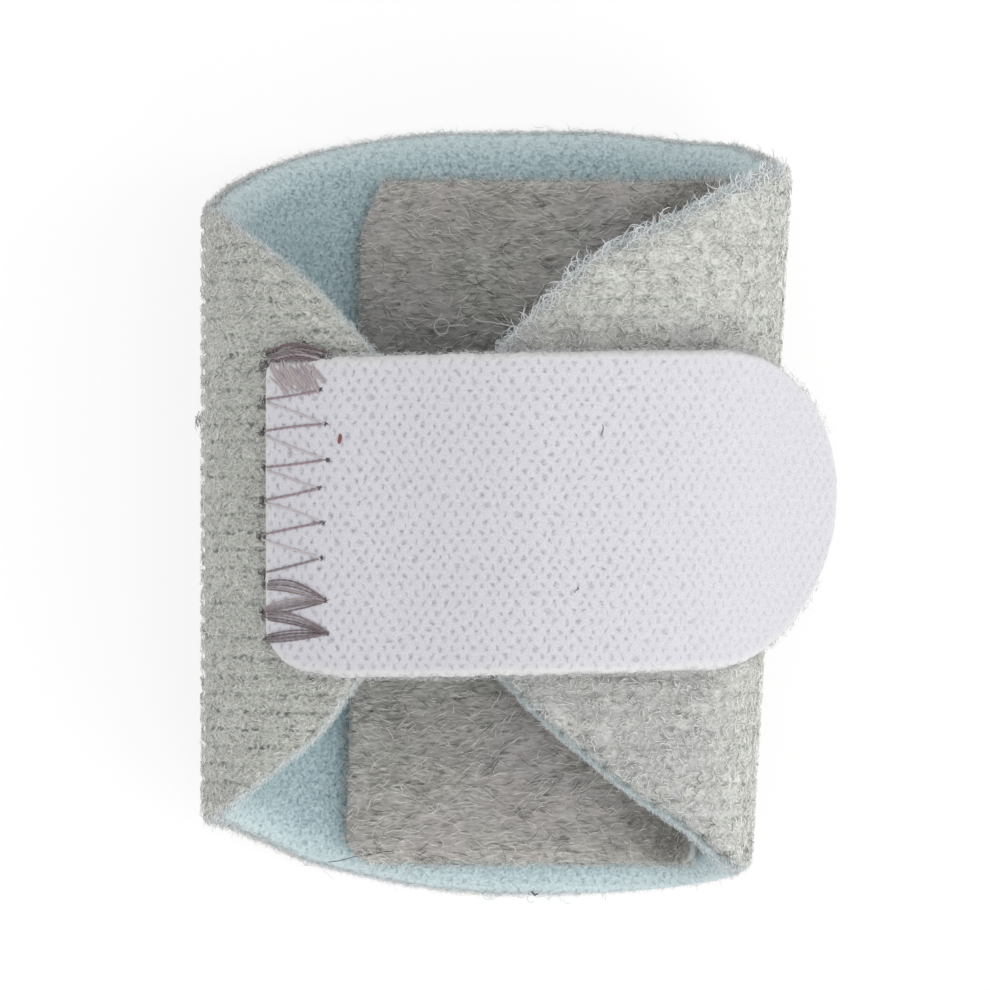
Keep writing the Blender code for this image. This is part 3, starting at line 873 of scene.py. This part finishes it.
def build_pocket():
    start, end = POCKET_SPAN
    lengths = strip_lengths(start, end, POCKET_CORNER, POCKET_CORNER / 2, 0.4 * MM)

    def pocket_edges(where):
        loss = strip_loss(where, start, end, POCKET_CORNER, POCKET_CORNER / 2)
        snipped = POCKET_SNIP_LENGTH * np.clip(1 - (where - start) / POCKET_SNIP_WIDTH, 0.0, 1.0)
        near_limit = laminate_edges(where - POCKET_SLANT * POCKET_NEAR_REACH)[0] + 0.9 * MM
        far_limit = laminate_edges(where + POCKET_SLANT * POCKET_FAR_REACH)[1] - 0.9 * MM
        near = np.maximum(loss - POCKET_NEAR_REACH, near_limit)
        return near, np.minimum(POCKET_FAR_REACH - np.maximum(loss, snipped), far_limit)

    under = -LAMINATE_DEPTH - 0.03 * MM
    top = -LAMINATE_DEPTH - LAYER_GAP - POCKET_THICKNESS
    patch = cloth_wall("pocket_patch", SECTION, lengths, *pocket_edges(lengths), top, under, 1.5 * MM, 90,
                       patch_depth, drifting(0.1 * MM, 2 * MM, 33), POCKET_SLANT)
    grey = pile_material("pocket_pile", srgb(212, 209, 203), srgb(160, 157, 151), srgb(104, 102, 97),
                         srgb(176, 181, 180), 0.3 * MM, (1.8, 0.6, 1.0), ribs=False)
    dress(patch, [grey], "pocket_pile", "splint_pocket")
    tones = fibre_tones("pocket_fibre", srgb(244, 241, 236), srgb(204, 201, 195), srgb(124, 121, 117))
    field = scatter(10000, start, end, pocket_edges, top + 0.1 * MM, 0.4, mm(0.6, 1.7),
                    mm(0.035, 0.055), 1.5, -0.35 * MM, (0.45, 0.43, 0.12))
    field["length"] += POCKET_SLANT * field["y"]
    # painted shade: fibres beside the right flap's cut edges and the strap's far edge more often take a
    # darker tone
    beside_flap = field["length"] - FLAP_SLOPE * np.abs(field["y"]) - SHADE_START
    beside_flap = beside_flap / (SHADE_END - SHADE_START)
    beside_strap = np.where(field["y"] > 0, 1 - (field["y"] - STRAP_WIDTH / 2) / (4 * MM), 0.0)
    shade = 0.8 * np.clip(np.maximum(beside_flap, beside_strap), 0.0, 1.0)
    darker = RANDOM.uniform(0, 1, len(shade)) < shade
    field["tones"] = np.minimum(field["tones"] + darker, 2)
    fuzz = [dress(fibres("pocket_fibres", **field), tones, "pocket_pile")]
    for name, far in (("near", False), ("far", True)):
        fringe = edge_fringe(900, SECTION, start, end, pocket_edges, far, (top, -LAMINATE_DEPTH),
                             mm(0.5, 1.4), mm(0.03, 0.05), 0.15 * MM, (0.4, 0.45, 0.15))
        fringe["length"] += POCKET_SLANT * fringe["y"]
        fuzz.append(dress(fibres(f"pocket_fringe_{name}", rings=1, **fringe), tones, "pocket_pile"))
    count = 1300
    side_near = POCKET_CORNER / 2 - POCKET_NEAR_REACH
    side_far = POCKET_FAR_REACH - POCKET_SNIP_LENGTH
    side = dict(line=SECTION, length=start + RANDOM.normal(0.05 * MM, 0.2 * MM, count),
                off=RANDOM.uniform(top, -LAMINATE_DEPTH, count),
                y=RANDOM.uniform(side_near, side_far, count),
                heading=RANDOM.normal(0, 0.7, count), size=RANDOM.uniform(0.5 * MM, 1.3 * MM, count),
                width=RANDOM.uniform(0.03 * MM, 0.05 * MM, count), curl=RANDOM.normal(0, 1.5, count),
                loft=np.zeros(count), tones=RANDOM.choice(3, count, p=(0.4, 0.45, 0.15)))
    side["length"] += POCKET_SLANT * side["y"]
    fuzz.append(dress(fibres("pocket_fringe_side", rings=1, **side), tones, "pocket_pile"))
    return patch, fuzz


def strap_edges(lengths, start=STRAP_TRIM, end=STRAP_TIP - HOOK_RIM):
    """Near and far edge of the strap, or of the hook tape, at lengths along it."""
    middles = STRAP_SKEW * np.interp(lengths, STRAP.length, STRAP.x)
    near_loss = strip_loss(lengths, start, end, 2.9 * STRAP_CORNER, STRAP_WIDTH / 2)
    far_loss = strip_loss(lengths, start, end, 0.8 * STRAP_CORNER, STRAP_WIDTH / 2)
    drawn_in = np.clip(1 - lengths / (5.8 * MM), 0.0, 1.0)
    near = middles - STRAP_WIDTH / 2 + near_loss + 1.0 * MM * drawn_in
    return near, middles + STRAP_WIDTH / 2 - far_loss - 0.3 * MM * drawn_in ** 2


def build_strap():
    end = STRAP_TIP - HOOK_RIM
    lengths = strip_lengths(STRAP_TRIM, end, 2.9 * STRAP_CORNER, STRAP_WIDTH / 2, 0.19 * MM)
    nears, fars = strap_edges(lengths)
    ragged = 0.05 * MM * grain(lengths / (0.3 * MM), 0 * lengths, 51)
    strap = cloth_wall("strap_tape", STRAP, lengths, nears - ragged, fars + ragged,
                       STRAP_THICKNESS, 0.0, 0.45 * MM, 82, strap_depth,
                       drifting(0.17 * MM, 0.6 * MM, 43))
    dress(strap, [strap_material()], "strap", "strap")
    hook_start = float(np.interp(HOOK_START, STRAP.x, STRAP.length))
    lengths = strip_lengths(hook_start, STRAP_TIP, STRAP_CORNER, STRAP_WIDTH / 2, 0.4 * MM)
    hook = cloth_wall("hook_tape", STRAP, lengths, *strap_edges(lengths, hook_start, STRAP_TIP),
                      -LAYER_GAP - HOOK_THICKNESS + 0.3 * MM, -0.04 * MM, 0.25 * MM, 30, hook_depth,
                      drifting(0.02 * MM, 1 * MM, 53))
    cream = plain_material("hook_cream", srgb(226, 225, 218), srgb(212, 210, 202), 0.5 * MM, 0.6)
    dress(hook, [cream], "hook", "hook_tab")
    whites = fibre_tones("strap_fibre", srgb(236, 236, 238), srgb(212, 212, 216))
    fields = []
    for edge, far in (("near", False), ("far", True)):
        fringe = edge_fringe(1500, STRAP, 0.5 * MM, end - 1.0 * MM, strap_edges, far,
                             (0.2 * MM, STRAP_THICKNESS), mm(0.3, 0.7), mm(0.025, 0.04), 0.1 * MM,
                             (0.6, 0.4))
        fields.append(dress(fibres(f"strap_fibres_{edge}", rings=1, **fringe), whites, "strap"))
    return strap, hook, fields


def on_strap(x, y, off):
    """Spine points in the strap's own terms of places on its face as seen from above."""
    length = np.interp(x, STRAP.x + STRAP_THICKNESS * STRAP.off_x, STRAP.length)
    return np.stack([length, y, off], axis=-1)


def threads(name, spines, radius, colours, twist=0.8 * MM):
    """Two-ply sewing thread along spines."""
    way = np.cumsum(np.linalg.norm(np.diff(spines, axis=1, prepend=spines[:, :1]), axis=-1), axis=1)
    plies = []
    for half_turn in (0.0, math.pi):
        phase = 2 * math.pi * way / twist + half_turn
        side = 0.55 * radius * np.stack([0 * phase, np.cos(phase), np.sin(phase)], axis=-1)
        plies.append(spines + side)
    both = np.concatenate(plies)
    tones = np.tile(RANDOM.integers(0, len(colours), len(spines)), 2)
    piece = strands(name, STRAP, both, np.full(both.shape[:2], 0.6 * radius), tones, sides=5)
    return dress(piece, colours, "strap")


def build_seam():
    """Zigzag seam with lock stitches at its near end and a bar tack at its far end."""
    t = np.linspace(0.0, 1.0, 26)
    surface = STRAP_THICKNESS + 0.02 * MM

    def stitched(start_x, start_y, end_x, end_y, bow, height=0.0):
        x = np.linspace(start_x, end_x, len(t))
        y = np.linspace(start_y, end_y, len(t)) + bow * np.sin(math.pi * t)
        rise = np.clip((x - x[0]) / 0.55, 0.0, 1.0)
        sink = np.clip((t - 0.93) / 0.07, 0.0, 1.0) * 0.25 * MM
        off = -0.25 * MM + (surface + height + 0.25 * MM) * np.sqrt(rise) - sink
        return on_strap(x * MM, y * MM, off)

    spines = []
    faded = []
    for stitch, following in zip(ZIGZAG, ZIGZAG[1:] + ZIGZAG[-1:]):
        bow = 0.06 * RANDOM.normal(0, 1, 2)
        spines.append(stitched(*stitch, bow[0]))
        if following is not stitch:
            faded.append(stitched(*stitch[:2], *following[2:], bow[1]))
    locks = []
    for bundle in LOCK_STITCHES:
        for number in range(LOCK_THREADS):
            stray = RANDOM.normal(0, 1, 4)
            share = number / (LOCK_THREADS - 1) - 0.5
            locks.append(stitched(bundle.start_x + 0.08 * stray[0], bundle.start_y + 0.35 * share,
                                  bundle.end_x + 0.12 * stray[1], bundle.end_y + 0.16 * share,
                                  bundle.bow + 0.4 * share + 0.05 * stray[2], 0.05 * MM * (number % 3)))
    purple = plain_material("thread_mauve", srgb(172, 155, 160), srgb(134, 119, 124), 0.5 * MM)
    grey = plain_material("thread_grey", srgb(160, 148, 151), srgb(120, 110, 113), 0.5 * MM)
    dusky = plain_material("thread_dusky", srgb(146, 131, 135), srgb(104, 92, 96), 0.3 * MM)
    pale = plain_material("thread_faded", srgb(210, 202, 204), srgb(188, 178, 180), 0.5 * MM)
    light = plain_material("thread_light", srgb(186, 174, 178), srgb(158, 146, 150), 0.4 * MM)
    zigzag = threads("zigzag_thread", np.array(spines), 0.8 * THREAD_RADIUS, [purple, grey])
    lock = threads("lock_thread", np.array(locks), 0.55 * THREAD_RADIUS, [dusky, light, grey])
    back = threads("zigzag_return", np.array(faded), 0.7 * THREAD_RADIUS, [pale, pale])

    spines = []
    for number in range(14):
        stray = RANDOM.normal(0, 1.0, 5)
        x = np.linspace(-14.3 + 0.2 * stray[0], -10.7 + 0.2 * stray[1], len(t))
        y = 9.45 + 0.13 * stray[2] + (0.35 + 0.12 * stray[3]) * np.sin(math.pi * t) + 0.24 * (number % 3)
        y = y + 0.06 * np.sin(5 * t + 3 * stray[4])
        rise = np.sin(math.pi * np.clip(t, 0.0, 1.0)) ** 0.25
        over_edge = np.clip((y - 9.8) / 0.6, 0.0, 1.0)
        off = (surface + 0.12 * MM * (number % 3)) * rise * (1 - 0.35 * over_edge)
        spines.append(on_strap(x * MM, y * MM, off))
    tack = threads("bar_tack_thread", np.array(spines), 0.7 * THREAD_RADIUS, [dusky, grey, dusky, light])

    spines = []
    t = np.linspace(0.0, 1.0, 10)
    for number in range(44):
        stray = RANDOM.normal(0, 1.0, 4)
        middle_x = -13.7 + 0.065 * number + 0.1 * stray[0]
        middle_y = 8.45 + 0.3 * stray[1]
        lean = 0.9 + 0.3 * stray[2]
        x = middle_x + lean * (t - 0.5)
        y = middle_y - (1.3 + 0.3 * stray[3]) * (t - 0.5)
        off = surface - 0.09 * MM + 0.07 * MM * np.sin(math.pi * t)
        spines.append(on_strap(x * MM, y * MM, off))
    beige = plain_material("thread_beige", srgb(196, 187, 188), srgb(172, 162, 163), 0.4 * MM)
    under = threads("tack_base_thread", np.array(spines), 0.8 * THREAD_RADIUS, [beige, light])
    return zigzag, lock, back, tack, under


def build_hole_tufts():
    """Dark pile and thread pulled up at the seam's needle holes."""
    places = [(stitch.hole_x - 0.15, stitch.hole_y, 0.24, 0.15, 55) for stitch in ZIGZAG]
    places += [(bundle.start_x - 0.1, bundle.start_y, 0.24, 0.15, 40) for bundle in LOCK_STITCHES]
    places += [(stitch.turn_x, stitch.turn_y, 0.07, 1.22, 7) for stitch in ZIGZAG]
    places += [(bundle.end_x, bundle.end_y, 0.08, 1.22, 7) for bundle in LOCK_STITCHES]
    places += [(-14.8, 9.2, 0.35, 0.3, 60), (-10.5, 9.8, 0.25, 1.0, 20), (-14.4, 10.0, 0.35, 0.4, 40),
               (-12.4, 10.2, 0.6, 0.5, 40)]
    parts = []
    for x, y, size, off, count in places:
        centre = on_strap(x * MM, y * MM, off * MM)
        along = centre[0] + RANDOM.normal(0, size * MM, count)
        across = centre[1] + RANDOM.normal(0, 0.6 * size * MM, count)
        parts.append(np.stack([along, across, np.full(count, centre[2])]))
    length, y, off = np.concatenate(parts, axis=1)
    count = len(length)
    colours = fibre_tones("hole_fibre", srgb(112, 106, 108), srgb(84, 81, 83), srgb(150, 141, 145))
    tuft = fibres("hole_fibres", STRAP, length, off, y, RANDOM.uniform(0, math.pi, count),
                  RANDOM.uniform(0.25, 0.6, count) * MM, RANDOM.uniform(0.04, 0.07, count) * MM,
                  RANDOM.normal(0, 1.2, count), np.full(count, 0.1 * MM),
                  RANDOM.choice(3, count, p=(0.4, 0.3, 0.3)))
    return dress(tuft, colours, "strap")


def build_hooks():
    """Rows of small bent hooks on the underside of the strap's round end."""
    start = float(np.interp(HOOK_START, STRAP.x, STRAP.length))
    length, y = np.meshgrid(np.arange(start + 0.7 * MM, STRAP_TIP - 0.6 * MM, 0.85 * MM),
                            np.arange(-STRAP_WIDTH / 2, STRAP_WIDTH / 2, 0.85 * MM))
    length, y = length.ravel(), y.ravel()
    nears, fars = strap_edges(length, start, STRAP_TIP)
    kept = (y > nears + 0.5 * MM) & (y < fars - 0.5 * MM)
    length, y = length[kept] + RANDOM.normal(0, 0.04 * MM, kept.sum()), y[kept]
    t = np.linspace(0.0, 1.0, 6)
    across = 0.16 * MM * (1 - np.cos(math.pi * np.clip(2 * t - 0.8, 0.0, 1.0)))
    down = 0.45 * MM * np.sin(0.62 * math.pi * t) / math.sin(0.62 * math.pi * 0.8)
    top = -LAYER_GAP - HOOK_THICKNESS + 0.36 * MM
    across = length[:, None] + across
    spines = np.stack([across, y[:, None] + 0 * t, top - down + 0 * across], axis=-1)
    radii = np.full(spines.shape[:2], 0.06 * MM)
    hooks = strands("hook_rows", STRAP, spines, radii, np.zeros(len(length), int))
    nylon = plain_material("hook_nylon", srgb(232, 231, 226), srgb(222, 221, 215), 0.5 * MM, 0.45)
    return dress(hooks, [nylon], "hook")


def build_strays():
    """The few loose fibres, dark specks of yarn and one red-brown fleck that lie on the splint."""
    t = np.linspace(0.0, 1.0, 18)
    above = STRAP_THICKNESS + 0.03 * MM + 0 * t
    within = STRAP_THICKNESS - 0.02 * MM + 0 * t
    fleck = on_strap((-9.6 + 0.04 * np.sin(5 * t)) * MM, (5.0 - 0.65 * t) * MM, above)
    mark = on_strap((6.5 + 0.06 * np.sin(4 * t)) * MM, (5.6 - 0.75 * t) * MM, within)
    other = on_strap((5.1 + 0.12 * np.sin(6 * t)) * MM, (-4.45 - 0.4 * t) * MM, within)
    on_top = np.array([fleck, mark, other])
    swell = np.sqrt(np.clip(np.sin(math.pi * t), 0.1, 1.0))
    radii = np.array([[0.12 * MM], [0.03 * MM], [0.035 * MM]]) * swell
    tones = [plain_material("fleck_red_brown", srgb(148, 88, 78), srgb(110, 74, 68), 0.2 * MM),
             plain_material("yarn_dark", srgb(120, 118, 122), srgb(96, 94, 98), 0.4 * MM)]
    marks = strands("strap_specks", STRAP, on_top, radii, np.array([0, 1, 1]), sides=6)
    dress(marks, tones, "strap")

    patch_top = -LAMINATE_DEPTH - LAYER_GAP - POCKET_THICKNESS
    angle = np.linspace(0.0, 1.75 * math.pi, 12)
    loop = [(-3.4 + 0.5 * math.cos(a), 12.0 + 0.5 * math.sin(a)) for a in angle]
    paths = (
        loop + [(-3.0, 12.0), (-2.3, 12.1), (-1.6, 12.0)],
        [(-1.5, 12.7), (-1.3, 12.5), (-1.1, 12.4), (-0.7, 12.3), (-0.3, 12.3), (0.6, 12.1), (1.5, 11.9)],
        [(1.9, 13.6), (1.8, 13.2), (1.85, 12.8), (1.75, 12.4), (1.8, 12.0)],
        [(-11.6, -22.4), (-10.6, -22.3), (-9.4, -22.0), (-8.3, -21.9), (-7.2, -21.7), (-6.4, -21.6)],
        [(2.55, -24.35), (2.8, -24.6), (3.0, -24.5)],
    )
    offs = [(patch_top - 0.35 * MM, patch_top - 0.35 * MM)] * 3
    offs += [(-LAMINATE_DEPTH - 0.1 * MM, patch_top - 0.3 * MM), mm(-1.3, -1.2)]
    spines = []
    for points, (off_start, off_end) in zip(paths, offs):
        points = np.array(points) * MM
        way = np.append(0.0, np.cumsum(np.hypot(*np.diff(points, axis=0).T)))
        where = np.linspace(0.0, way[-1], 30)
        x = np.interp(where, way, points[:, 0])
        y = np.interp(where, way, points[:, 1])
        spines.append(np.stack([x, y, np.linspace(off_start, off_end, 30)], axis=-1))
    radii = np.array([[0.035], [0.035], [0.03], [0.025], [0.05]]) * MM * np.ones(30)
    tones = [plain_material("lint_white", srgb(232, 232, 230), srgb(214, 214, 212), 0.4 * MM),
             plain_material("hair_dark", srgb(86, 92, 96), srgb(66, 70, 74), 0.4 * MM)]
    lint = strands("loose_fibres", SECTION, np.array(spines), radii, np.array([0, 0, 0, 1, 1]), sides=4)

    count = 26
    fluff = fibres("fluff", SECTION, SIDES[0] + RANDOM.normal(0, 0.3 * MM, count),
                   RANDOM.uniform(0.0, 0.35 * MM, count), 6.0 * MM + RANDOM.normal(0, 0.2 * MM, count),
                   RANDOM.uniform(0, math.pi, count), RANDOM.uniform(0.5 * MM, 0.9 * MM, count),
                   RANDOM.uniform(0.04 * MM, 0.06 * MM, count), RANDOM.normal(0, 2.0, count),
                   np.full(count, 0.15 * MM), RANDOM.integers(0, 2, count))
    greys = fibre_tones("fluff_grey", srgb(196, 197, 194), srgb(168, 170, 166))
    return marks, dress(lint, tones, "lining"), dress(fluff, greys, "outer_pile")


def layer_area(lengths, edges):
    """Flat area between a cloth's two edges, in square metres."""
    nears, fars = edges(lengths)
    return float(np.sum((fars - nears)[:-1] * np.diff(lengths)))


def declare_cloth():
    """Work out the flat areas of the wrap, the lining and the strap; they are not kept."""
    wrap_lengths = np.linspace(*FLAP_ENDS, 400)
    layer_area(wrap_lengths, laminate_edges)
    layer_area(wrap_lengths, proud_edges)
    strap_lengths = np.linspace(STRAP_TRIM, STRAP_TIP - HOOK_RIM, 400)
    layer_area(strap_lengths, strap_edges)


def build_stage():
    bpy.ops.mesh.primitive_plane_add(size=3.0)
    floor = bpy.context.active_object
    floor.name = "floor"
    material, tree, shader = new_material("floor_white", 0.9)
    shader.inputs["Base Color"].default_value = (FLOOR_SHADE, FLOOR_SHADE, FLOOR_SHADE, 1.0)
    shader.inputs["Emission Color"].default_value = (1.0, 1.0, 1.0, 1.0)
    shader.inputs["Emission Strength"].default_value = FLOOR_GLOW
    floor.data.materials.append(material)
    world = bpy.data.worlds.new("studio")
    bpy.context.scene.world = world
    world.use_nodes = True
    world.node_tree.nodes["Background"].inputs["Color"].default_value = (1.0, 1.0, 1.0, 1.0)
    world.node_tree.nodes["Background"].inputs["Strength"].default_value = WORLD_STRENGTH
    for name, direction, angle, strength in LAMPS:
        lamp = bpy.data.lights.new(name, "SUN")
        lamp.angle = math.radians(angle)
        lamp.energy = strength
        holder = bpy.data.objects.new(name, lamp)
        holder.rotation_euler = Vector(direction).to_track_quat("Z", "Y").to_euler()
        bpy.context.collection.objects.link(holder)


def build_camera():
    """Camera straight above the strap, with the photograph's frame and scale."""
    camera = bpy.data.cameras.new("camera")
    camera.sensor_width = SENSOR_WIDTH
    camera.lens = SENSOR_WIDTH * CAMERA_HEIGHT / (PHOTO_SIZE * PHOTO_MM_PER_PIXEL * MM)
    holder = bpy.data.objects.new("camera", camera)
    holder.location = (0.0, CAMERA_Y, STRAP_TOP + CAMERA_HEIGHT)
    bpy.context.collection.objects.link(holder)
    bpy.context.scene.camera = holder
    bpy.context.scene.view_settings.view_transform = "Standard"


build_stage()
build_camera()
wrap, wrap_fibres = build_wrap()
lining, lining_fibres = build_lining()
patch, patch_fibres = build_pocket()
strap, hook, strap_fibres = build_strap()
seam = build_seam()
tufts = build_hole_tufts()
hooks = build_hooks()
specks = build_strays()
declare_cloth()
